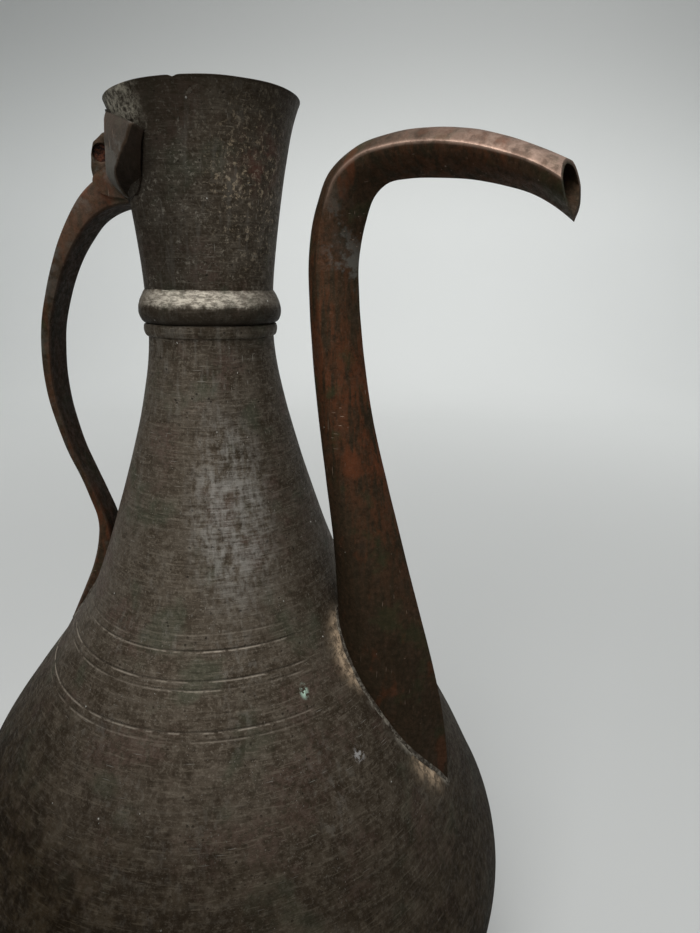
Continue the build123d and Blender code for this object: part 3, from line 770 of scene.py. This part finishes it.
def make_foot(material):
    outer = smooth(FOOT_OUTLINE, 0.8)
    inner = smooth(FOOT_INSIDE, 0.8)
    section = np.vstack([outer, [[50.0, FOOT_TOP_Z]], inner[::-1]])
    points = hand_worked(spin(section), 0.3, seed=6.0)
    spun_piece("foot_ring", section, points, material)
    bead = np.array([
        (57.5, 0.5), (57.9, 0.0), (60.3, 0.0), (61.1, 0.7), (61.45, 2.0), (61.1, 3.4), (60.4, 4.0),
        (57.9, 4.0), (57.5, 3.5),
    ])
    bead = smooth(np.vstack([bead, bead[:1]]), 0.4)[:-1]
    bead[:, 0] = np.clip(bead[:, 0], 57.5, 61.45)
    bead[:, 1] = np.clip(bead[:, 1], 0.0, 4.0)
    spun_piece("foot_bead", bead, spin(bead), material)
    rise = 4.0
    rim = float(inward(BODY_CURVE, BODY_WALL)[0, 0])
    r = np.linspace(0.4, rim, 40)
    over = np.stack([r, FOOT_TOP_Z + rise * (1 - (r / rim) ** 2)], axis=1)
    under = over - [0, BODY_WALL]
    section = np.vstack([over, [[50.0, FOOT_TOP_Z], [50.0, FOOT_TOP_Z - BODY_WALL]], under[::-1]])
    spun_piece("bottom_disc", section, spin(section), material)


# ---------------------------------------------------------------- spout
def spout_stations(step):
    """Stations between the given ones: keel, top, half width and turn on smooth curves."""
    rows = np.array([[a[0], a[1], b[0], b[1], half, turned] for a, b, half, turned in SPOUT_STATIONS])
    middle = (rows[:, 0:2] + rows[:, 2:4]) / 2
    length = distances(middle)
    at = np.linspace(0, length[-1], int(length[-1] / step) + 1)
    return hermite(length, rows, at), at / length[-1]


def pick_evenly(curve, count):
    """count points at even steps along a finely divided flat curve."""
    at, index = np.linspace(0, len(curve) - 1, count), np.arange(len(curve))
    return np.stack([np.interp(at, index, curve[:, 0]), np.interp(at, index, curve[:, 1])], axis=1)


def place_section(rows, section, extra):
    """Points of every station's section, grown by extra millimetres: array station x point x 3."""
    top, keel, half, turned = rows[:, 0:2], rows[:, 2:4], rows[:, 4], np.radians(rows[:, 5])
    depth = np.linalg.norm(keel - top, axis=1)
    along = SPOUT_CORE + (section[:, :, 0] - SPOUT_CORE) * (1 + 2 * extra / depth)[:, None]
    side = -section[:, :, 1] * (half + 1.15 * extra)[:, None]
    s = top[:, 0][:, None] + (keel[:, 0] - top[:, 0])[:, None] * along
    z = top[:, 1][:, None] + (keel[:, 1] - top[:, 1])[:, None] * along
    c, n = np.cos(turned)[:, None], np.sin(turned)[:, None]
    return np.stack([SPOUT_STEM_X + s * c - side * n, s * n + side * c, z], axis=-1)


def trim_to_body(sheet):
    """Rows respaced along every lengthwise line, so that the first row lies on the vessel."""
    rows, columns, _ = sheet.shape
    out = np.empty_like(sheet)
    index = np.arange(rows)
    for c in range(columns):
        line = sheet[:, c]
        clear = np.hypot(line[:, 0], line[:, 1]) - radius(line[:, 2]) + 0.25
        inside = np.where((clear < 0) & (line[:, 2] < 260.0))[0]
        start = 0.0
        if len(inside):
            k = inside[-1]
            start = k + clear[k] / (clear[k] - clear[k + 1])
        spread = start + (rows - 1 - start) * (index / (rows - 1))
        for axis in range(3):
            out[:, c, axis] = np.interp(spread, index, line[:, axis])
    return out


def rounded(pairs, share):
    """The section's points for every station, rounded more on the stem and less on the crook."""
    centre = np.array([0.47, 0.0])
    away = pairs - centre
    reach = 1 / np.sqrt((away[:, 0] / 0.49) ** 2 + (away[:, 1] / 0.95) ** 2)
    oval = centre + away * reach[:, None]
    oval[:, 0] = np.maximum(oval[:, 0], pairs[:, 0].min())
    stem = np.interp(share, [0.0, 0.50, 0.64, 0.90, 1.0], [0.80, 0.80, 0.34, 0.34, 0.60])
    keel = np.interp(pairs[:, 0], [0.62, 0.95], [1.0, 0.22])
    keel = 1 - (1 - keel)[None, :] * np.interp(share, [0.15, 0.3, 0.85, 1.0], [1.0, 0.25, 0.25, 1.0])[:, None]
    amount = (stem[:, None] * keel)[:, :, None]
    return pairs[None] * (1 - amount) + oval[None] * amount


def make_sheet(name, pairs, material, rows, share):
    """One sheet of the spout, its two faces joined along the edges. Gives the outer face's points."""
    section = rounded(pairs, share)
    outer = trim_to_body(place_section(rows, section, 0.0))
    inner = trim_to_body(place_section(rows, section, -SPOUT_WALL))
    core = trim_to_body(place_section(rows, np.repeat([[[SPOUT_CORE, 0.0]]], len(rows), axis=0), 0.0))
    count_rows, count, _ = outer.shape
    loops = np.concatenate([outer, inner[:, ::-1]], axis=1)
    points = loops.reshape(-1, 3)
    dent = rumple(points, 7.0, 0.5, 11.0) + rumple(points, 22.0, 0.5, 12.0)
    centre = np.broadcast_to(core, loops.shape).reshape(-1, 3)
    inwards = centre - points
    inwards /= np.linalg.norm(inwards, axis=1)[:, None] + 1e-6
    points = points + inwards * (dent * 0.45)[:, None]
    points[:, 0] -= SPOUT_TIP_DRAW * np.clip((points[:, 0] - 94.0) / 12.7, 0, 1) ** 2
    columns = loops.shape[1]
    faces = grid_faces(count_rows, columns)
    last = (count_rows - 1) * columns
    for i in range(count - 1):
        j = columns - 1 - i
        faces.append([last + i, last + i + 1, last + j - 1, last + j])
        faces.append([j, j - 1, i + 1, i])
    across = np.abs(np.concatenate([pairs[:, 1], pairs[::-1, 1]]))
    along = np.concatenate([pairs[:, 0], pairs[::-1, 0]])
    share = np.repeat(share, columns)
    off = np.tile(np.hypot((along - ARRIS) * 12.0, (across - 1.0) * 7.0), count_rows)
    crook = np.clip((share - 0.66) / 0.12, 0, 1)
    # painted highlight, with rubbed copper, along the arris of the crook
    wear = 0.8 * np.exp(-(off / 0.50) ** 2) * crook * np.clip((0.985 - share) / 0.03, 0.45, 1)
    outside = np.tile(np.concatenate([np.ones(count), np.zeros(count)]), count_rows)
    along, across = np.tile(along, count_rows), np.tile(across, count_rows)
    top_face = np.clip((ARRIS + 0.02 - along) / 0.08, 0, 1)
    # painted light, with paler dull copper, on the crook's top face
    dull = top_face * np.clip((share - 0.70) / 0.24, 0, 1)
    tin = np.exp(-((share - 0.665) / 0.035) ** 2) * np.clip((along - 0.3) / 0.3, 0.15, 1)
    # painted shade on the crook's lower side face
    shaded_low_face = np.clip((along - ARRIS - 0.03) / 0.25, 0, 1) * np.clip((share - 0.64) / 0.08, 0, 1)
    shaded_low_face *= np.clip((0.99 - share) / 0.08, 0.55, 1)
    # darker towards the foot of the spout, with painted shade on the crook's lower side face
    grime = np.maximum(shaded_low_face * 0.72, np.interp(share, [0.0, 0.12, 0.30, 0.55], [0.87, 0.82, 0.45, 0.08]))
    # painted shade, near black, over the inside, lighter just inside the mouth
    grime = np.where(outside > 0, grime, 1.0 - 0.65 * np.clip((share - 0.975) / 0.02, 0, 1))
    red = np.maximum(np.exp(-((share - 0.47) / 0.18) ** 2), 0.75 * np.exp(-((share - 0.86) / 0.10) ** 2))
    copper_piece(name, points, faces, material, 40.0, wear=wear * outside, dull=dull * outside, tin=tin,
                 grime=grime, red=red)
    return outer


def make_spout(copper, solder):
    """Both sheets of the spout and the solder round its foot. Gives the loop of the foot."""
    rows, share = spout_stations(0.9)
    top = pick_evenly(smooth(TOP_SIDE, 0.004), 33)
    near = pick_evenly(smooth(KEEL_NEAR, 0.004), 26)
    far = near[::-1] * [1.0, -1.0]
    keel = np.vstack([near, far[1:]])
    outer_top = make_sheet("spout_top_sheet", top, copper, rows, share)
    outer_keel = make_sheet("spout_keel_sheet", keel, copper, rows, share)
    foot = np.vstack([outer_keel[0], outer_top[0][::-1][1:-1]])
    make_bead("spout_solder", foot, 0.55, solder)
    return resample(foot, 300)


def resample(loop, count):
    """count points at even distances round a closed loop."""
    closed = np.vstack([loop, loop[:1]])
    length = distances(closed)
    at = np.linspace(0, length[-1], count, endpoint=False)
    return np.stack([np.interp(at, length, closed[:, k]) for k in range(3)], axis=1)


def make_bead(name, loop, thick, material):
    """A lumpy bead along a closed loop on the vessel's surface."""
    line = resample(loop, 300)
    ahead = np.roll(line, -1, axis=0) - np.roll(line, 1, axis=0)
    ahead /= np.linalg.norm(ahead, axis=1)[:, None]
    r = np.hypot(line[:, 0], line[:, 1])
    slope = (radius(line[:, 2] + 1) - radius(line[:, 2] - 1)) / 2
    out = np.stack([line[:, 0] / r, line[:, 1] / r, -slope], axis=1)
    out /= np.linalg.norm(out, axis=1)[:, None]
    side = np.cross(ahead, out)
    side /= np.linalg.norm(side, axis=1)[:, None]
    swell = 0.7 + rumple(line, 4.0, 0.9, 21.0)
    turnings = circle(14)
    rings = []
    for a in turnings:
        wide = thick * 1.5 * math.cos(a)
        tall = thick * 0.62 * math.sin(a)
        rings.append(line + (side * wide + out * tall) * swell[:, None])
    points = np.stack(rings, axis=1).reshape(-1, 3)
    points += np.repeat(side, len(turnings), axis=0) * (rumple(points, 2.5, 0.5, 22.0) - 0.25)[:, None]
    faces = grid_faces(len(line), len(turnings), close_rows=True)
    make_piece(name, points, faces, material)


# ---------------------------------------------------------------- handle and hinge
def make_strap(copper):
    count = 230
    o, i = pick_evenly(smooth(STRAP_OUTSIDE, 0.2), count), pick_evenly(smooth(STRAP_INSIDE, 0.2), count)
    thick = np.linalg.norm(o - i, axis=1)
    z_mid = (o[:, 1] + i[:, 1]) / 2
    table = smooth(STRAP_HALF_WIDTH, 0.5)
    half = np.interp(z_mid, table[:, 0], table[:, 1])
    corner = np.minimum(1.15, 0.42 * thick)
    loop = rounded_rectangle()
    rings = []
    for u, v, cu, cv in loop:
        # u, v choose the corner's centre; cu, cv the direction of the rounding
        share = (u * (thick - 2 * corner) + corner + cu * corner) / thick
        side = v * (half - corner) + cv * corner
        point = i + (o - i) * share[:, None]
        rings.append(np.stack([point[:, 0], side, point[:, 1]], axis=1))
    points = np.stack(rings, axis=1).reshape(-1, 3)
    columns = len(loop)
    wobble(points, 0, 0.3, 9.0, 31.0)
    points = stay_outside(turn(points, HANDLE_AZ), 0.25)
    faces = grid_faces(count, columns)
    faces.append(list(range(columns))[::-1])
    faces.append([(count - 1) * columns + k for k in range(columns)])
    side_fact = np.tile([abs(v) * max(abs(cv), 0.25) for _, v, _, cv in loop], count)
    under = np.tile([1.0 if u < 0.4 and abs(cv) < 0.8 else 0.0 for u, _, _, cv in loop], count)
    z = np.repeat(z_mid, columns)
    outer_fact = np.tile([1.0 if u > 0.5 else 0.0 for u, *_ in loop], count)
    ridge = np.tile([1.0 if abs(cu) > 0.3 and abs(cv) > 0.3 else 0.0 for _, _, cu, cv in loop], count)
    # painted shade on the inner face, turned to the neck; the strap darker lower down
    grime = np.maximum(under * 0.86, 0.20 + np.clip((322 - z) / 30, 0, 1) * 0.25)
    dull = side_fact * 0.16 * np.clip((z - 300) / 30, 0.0, 1)
    copper_piece("handle_strap", points, faces, copper, 40.0, wear=ridge * 0.04, dull=dull,
                 tin=outer_fact * 0.4 + 0.3, grime=grime, red=0.5)


def rounded_rectangle():
    """Corner centres (u 0 inside..1 outside, v -1..1) and rounding directions round the strap."""
    flats = np.linspace(-1, 1, 7)[1:-1]

    def corner(u, v, quarter):
        angles = np.linspace(quarter * math.pi / 2, (quarter + 1) * math.pi / 2, 5)
        return [(u, v, math.cos(a), math.sin(a)) for a in angles]

    return (
        [(1.0, v, 1.0, 0.0) for v in flats] + corner(1.0, 1.0, 0) + [(0.5, 1.0, 0.0, 1.0)]
        + corner(0.0, 1.0, 1) + [(0.0, v, -1.0, 0.0) for v in flats[::-1]] + corner(0.0, -1.0, 2)
        + [(0.5, -1.0, 0.0, -1.0)] + corner(1.0, -1.0, 3)
    )


def chaikin(loop, rounds=2, weight=0.25):
    """A closed polygon with its corners cut."""
    for _ in range(rounds):
        after = np.roll(loop, -1, axis=0)
        first = loop * (1 - weight) + after * weight
        second = loop * weight + after * (1 - weight)
        loop = np.stack([first, second], axis=1).reshape(-1, loop.shape[1])
    return loop


def capped_rows(rings):
    """Points and faces of stacked equal rings, closed by domed caps."""
    rows, columns = len(rings), len(rings[0])
    points = list(np.concatenate(rings))
    faces = grid_faces(rows, columns)
    for ring, previous in ((rings[0], 0), (rings[-1], (rows - 1) * columns)):
        centre = ring.mean(axis=0)
        for shrink in (0.75, 0.45, 0.15):
            start = len(points)
            points.extend(centre + (ring - centre) * shrink)
            for c in range(columns):
                d = (c + 1) % columns
                faces.append([previous + c, previous + d, start + d, start + c])
            previous = start
        faces.append([previous + c for c in range(columns)])
    return np.array(points), faces


def make_near_cheek(copper):
    levels = []
    for corners, height, rise in NEAR_CHEEK_LEVELS:
        levels.append([(x, y, height + rise * x) for x, y in corners])
    levels = np.array(levels)
    middle = levels[:, :, 2].mean(axis=1)
    at = np.linspace(middle[0], middle[-1], 34)
    flat = hermite(middle, levels.reshape(len(levels), -1), at).reshape(len(at), 5, 3)
    rings = [chaikin(chaikin(ring, 1, 0.07), 2, 0.25) for ring in flat]
    # rounded shoulders at the top and bottom
    for k, pull in ((0, 0.10), (1, 0.03), (-1, 0.07), (-2, 0.02)):
        centre = rings[k].mean(axis=0)
        rings[k] = rings[k] + (centre - rings[k]) * np.array([pull, pull, 0.0])
    points, faces = capped_rows(rings)
    wobble(points, 0, 0.5, 4.0, 41.0)
    wobble(points, 1, 0.5, 3.0, 42.0)
    points = stay_outside(turn(points, HINGE_AZ))
    level = np.clip((points[:, 2] - 336.0) / 14.0, 0, 1)
    ridge = np.interp(points[:, 2], [333.8, 338.0, 345.0, 350.7], [6.0, 9.6, 14.6, 19.2])
    face = turn(points, -HINGE_AZ)
    # painted shade on the facet beyond the ridge, turned away from the lamp
    shaded_facet = np.clip((face[:, 1] - ridge + 0.3) / 0.9, 0, 1) * np.clip((352.0 - points[:, 2]) / 2.0, 0, 1)
    copper_piece("hinge_cheek_near", points, faces, copper, 35.0, wear=level * 0.03,
                 dull=level * 0.06 * (1 - shaded_facet), tin=1.3 * (1 - shaded_facet), grime=shaded_facet, red=shaded_facet * 0.2)


def outline_rays(outline, centre, count):
    """Distance from the centre to the outline in count directions."""
    closed = np.vstack([outline, outline[:1]]) - centre
    out = []
    for a in circle(count):
        d = np.array([math.cos(a), math.sin(a)])
        best = 0.0
        for p, q in zip(closed[:-1], closed[1:]):
            e = q - p
            det = d[0] * -e[1] + e[0] * d[1]
            if abs(det) < 1e-9:
                continue
            t = (p[0] * -e[1] + e[0] * p[1]) / det
            u = (d[0] * p[1] - d[1] * p[0]) / det
            if t > 0 and -1e-6 <= u <= 1 + 1e-6:
                best = max(best, t)
        out.append(best)
    return np.array(out)


def eye_ring(angles, r, y):
    """Points round the hinge's eye at a radius and a sideways position."""
    out, height = EYE_POS[0] + r * np.cos(angles), EYE_POS[1] + r * np.sin(angles)
    return np.stack([out, np.full(len(angles), y), height], axis=1)


def make_far_cheek(copper):
    count = 72
    angles = circle(count)
    centre = np.array(EYE_POS)
    reach = outline_rays(np.array(FAR_CHEEK_OUTLINE), centre, count)
    low, high = FAR_CHEEK
    thick = high - low
    rows = []
    for share, depth in (
        (0.0, 0.93), (0.05, 1.0), (0.3, 1.0), (0.6, 0.99), (0.82, 0.96), (0.95, 0.86), (1.0, 0.68),
        (1.0, 0.32), (0.95, 0.14), (0.82, 0.04), (0.6, 0.0), (0.3, 0.0), (0.05, 0.0), (0.0, 0.07),
    ):
        rows.append(eye_ring(angles, EYE_R + (reach - EYE_R) * share, low + thick * depth))
    for share in (0.3, 0.6, 0.85):
        rows.append(eye_ring(angles, EYE_R - 0.1, low + thick * share))
    points = np.concatenate(rows)
    wobble(points, 0, 0.35, 3.0, 51.0)
    wobble(points, 1, 0.35, 4.0, 52.0)
    points = stay_outside(turn(points, HINGE_AZ))
    faces = grid_faces(len(rows), count, close_rows=True)
    copper_piece("hinge_cheek_far", points, faces, copper, 55.0, wear=0, dull=0.05, tin=0.9,
                 grime=0.3, red=0.3)
    make_pin_stub(angles)


def make_pin_stub(angles):
    """Torn-off end of the old iron pin: its near face broken and hollowed."""
    low, high = FAR_CHEEK[0] + PIN_SINK, FAR_CHEEK[1] - PIN_SINK
    rows = ((0.02, low), (0.5, low), (0.97, low + 0.1), (0.97, high - 0.1), (0.8, high), (0.5, high - 0.25),
            (0.25, high - 0.4), (0.02, high - 0.5))
    points = np.concatenate([eye_ring(angles, EYE_R * share, y) for share, y in rows])
    points[:, 1] -= 0.3 * rumple(points, 1.3, 1.0, 71.0) * (points[:, 1] > high - 0.6)
    points = turn(points, HINGE_AZ)
    faces = grid_faces(len(rows), len(angles), close_rows=True)
    make_piece("pin_stub", points, faces, rusted_iron("rusted_iron"))


def make_saddle(copper):
    loop = chaikin(np.array(SADDLE_OUTLINE), 3, 0.22)
    sideways = (FAR_CHEEK[1], -2.0, 0.0, 2.0, CHEEK_INSIDE)
    rings = [np.stack([loop[:, 0], np.full(len(loop), y), loop[:, 1]], axis=1) for y in sideways]
    points, faces = capped_rows(rings)
    wobble(points, 2, 0.5, 3.0, 61.0)
    points = stay_outside(turn(points, HINGE_AZ))
    copper_piece("hinge_saddle", points, faces, copper, 55.0, wear=0, dull=0.16, tin=0.6,
                 grime=0.2, red=0.5)


def make_pad(name, azimuth, z_mid, half_width, half_height, thick, material):
    """A thin uneven pad on the vessel's surface."""
    rows, columns = 16, 90
    points = []
    for k in range(rows):
        share = (k + 0.15) / (rows - 0.85)
        for a in circle(columns):
            ragged = noise.noise(Vector((math.cos(a) * 2.2, math.sin(a) * 2.2, half_width)))
            reach = share * (0.90 + 0.10 * ragged)
            side = half_width * reach * math.cos(a)
            z = z_mid + half_height * reach * math.sin(a)
            r = float(radius(z))
            side = max(min(side, r * 0.98), -r * 0.98)
            out = math.sqrt(r * r - side * side)
            lift = thick * (1 - share**4) * 0.95 - 0.10
            scale = (r + lift) / r
            points.append((out * scale, side * scale, z))
    points = turn(np.array(points), azimuth)
    press_in(points, 0.3 - rumple(points, 3.0, 0.35, half_width))
    under = points.copy()
    under[:, :2] *= ((radius(under[:, 2]) - PAD_SINK) / from_axis(under))[:, None]
    faces = grid_faces(2 * rows, columns)
    faces.append(list(range(columns)))
    faces.append([(2 * rows - 1) * columns + c for c in range(columns)])
    both = np.concatenate([points.reshape(rows, columns, 3), under.reshape(rows, columns, 3)[::-1]])
    make_piece(name, both.reshape(-1, 3), faces, material)


# ---------------------------------------------------------------- build the ewer
tin_scribed = dark_tin("tinned_copper_scribed", lines=True)
tin_plain = dark_tin("tinned_copper")
tin_collar = dark_tin("tinned_copper_collar", collar=True)
copper = worn_copper("bare_copper")
solder_dark = soft_solder("solder_dark", 0.30)
# solder darkened with a dirty film and with painted shade of the recess beside the hinge's near cheek
solder_dirt_and_shade = soft_solder("solder_dirt_and_shade", 0.20, 0.75)


make_collar(tin_collar)
make_rings(tin_plain, dark_tin("tinned_copper_ring", ring=True))
make_foot(tin_plain)
make_vessel(tin_scribed, tin_plain, make_spout(copper, solder_dark))
make_strap(copper)
make_near_cheek(copper)
make_far_cheek(copper)
make_saddle(copper)
make_pad("hinge_solder", HINGE_AZ + math.radians(6.0), 344.0, 17.0, 13.0, 0.8, solder_dirt_and_shade)
make_pad("tail_solder", HANDLE_AZ, 206.0, 8.6, 17.5, 0.9, solder_dark)


# ---------------------------------------------------------------- floor, light, camera
FORWARD, RIGHT = np.array([-0.36977, 0.92912]), np.array([0.92912, 0.36977])
FLOOR_FRONT, FLOOR_END, CURVE, WALL_TOP, HALF_WIDTH = -3.0, 1.3, 0.9, 4.0, 4.0


def pale(name, colour, rough):
    """Pale matt paint with painted shade: darker near the ewer and higher up the wall."""
    n = Nodes(name)

    def darker(share):
        return tuple(c * share for c in colour)

    away = n.vector("DISTANCE", n.place).outputs["Value"]
    # painted shade on the floor round the ewer
    shade = n.mix(n.fall(away, 0.30, 1.75), colour, darker(0.52))
    # painted shade higher up the wall
    shade = n.mix(n.ramp(n.axes()[2], 0.45, 1.30), shade, darker(0.54))
    shade = n.mix(n.times(n.noise(3.0, detail=3.0), 0.12), shade, darker(0.7))
    n.put(shade, n.shader.inputs["Base Color"])
    n.shader.inputs["Roughness"].default_value = rough
    return n.material


def make_sweep():
    """Pale floor that curves up into a pale wall, far from the ewer, square to the camera."""
    profile = [(FLOOR_FRONT, 0.0), (FLOOR_END, 0.0)]
    for a in np.linspace(0, math.pi / 2, 24):
        profile.append((FLOOR_END + CURVE * math.sin(a), CURVE - CURVE * math.cos(a)))
    profile.append((FLOOR_END + CURVE, WALL_TOP))
    points = [(*(FORWARD * d + RIGHT * s), z) for d, z in profile for s in (-HALF_WIDTH, HALF_WIDTH)]
    mesh = bpy.data.meshes.new("backdrop")
    mesh.from_pydata(points, [], grid_faces(len(profile), 2, close_columns=False))
    for polygon in mesh.polygons:
        polygon.use_smooth = True
    sweep = bpy.data.objects.new("backdrop", mesh)
    # a hair under the foot, so that the two don't flicker
    sweep.location.z = -0.0002
    bpy.context.scene.collection.objects.link(sweep)
    mesh.materials.append(pale("pale_floor", (0.93, 0.94, 0.92), 0.8))


def make_light(name, place, aim, size, power):
    """A rectangular lamp turned towards a point; lengths in metres, power in watts."""
    light = bpy.data.lights.new(name, "AREA")
    light.shape = "RECTANGLE"
    light.size, light.size_y = size
    light.energy = power
    lamp = bpy.data.objects.new(name, light)
    lamp.location = place
    lamp.rotation_mode = "QUATERNION"
    lamp.rotation_quaternion = (Vector(aim) - Vector(place)).to_track_quat("-Z", "Y")
    bpy.context.scene.collection.objects.link(lamp)


make_sweep()
world = bpy.data.worlds.new("studio")
world.use_nodes = True
sky = world.node_tree.nodes["Background"]
sky.inputs["Color"].default_value = (0.80, 0.84, 0.86, 1.0)
sky.inputs["Strength"].default_value = 0.34
bpy.context.scene.world = world
make_light("overhead", (0.10, -0.35, 1.35), (0.0, 0.0, 0.25), (0.8, 0.8), 13.5)
make_light("front", (0.05, -1.05, 0.95), (0.0, 0.0, 0.25), (0.5, 0.5), 5.0)
make_light("back_wall", (0.2, 0.9, 1.6), (-0.6, 2.0, 0.4), (1.6, 0.8), 10.0)

# the camera's place and directions were found from the ewer's outline and rings in the photo
camera = bpy.data.cameras.new("camera")
camera.sensor_width = 36.0
camera.lens = 24.082
camera.clip_start = 0.01
view = bpy.data.objects.new("camera", camera)
right = Vector((0.92875979, 0.37053511, 0.01043991))
up = Vector((-0.11425596, 0.25936682, 0.95899657))
back = -Vector((-0.35263413, 0.89187028, -0.28322532))
view.matrix_world = Matrix((
    (right.x, up.x, back.x, 0.11438716),
    (right.y, up.y, back.y, -0.17011929),
    (right.z, up.z, back.z, 0.31154517),
    (0, 0, 0, 1),
))
bpy.context.scene.collection.objects.link(view)
bpy.context.scene.camera = view
bpy.context.scene.view_settings.view_transform = "Standard"
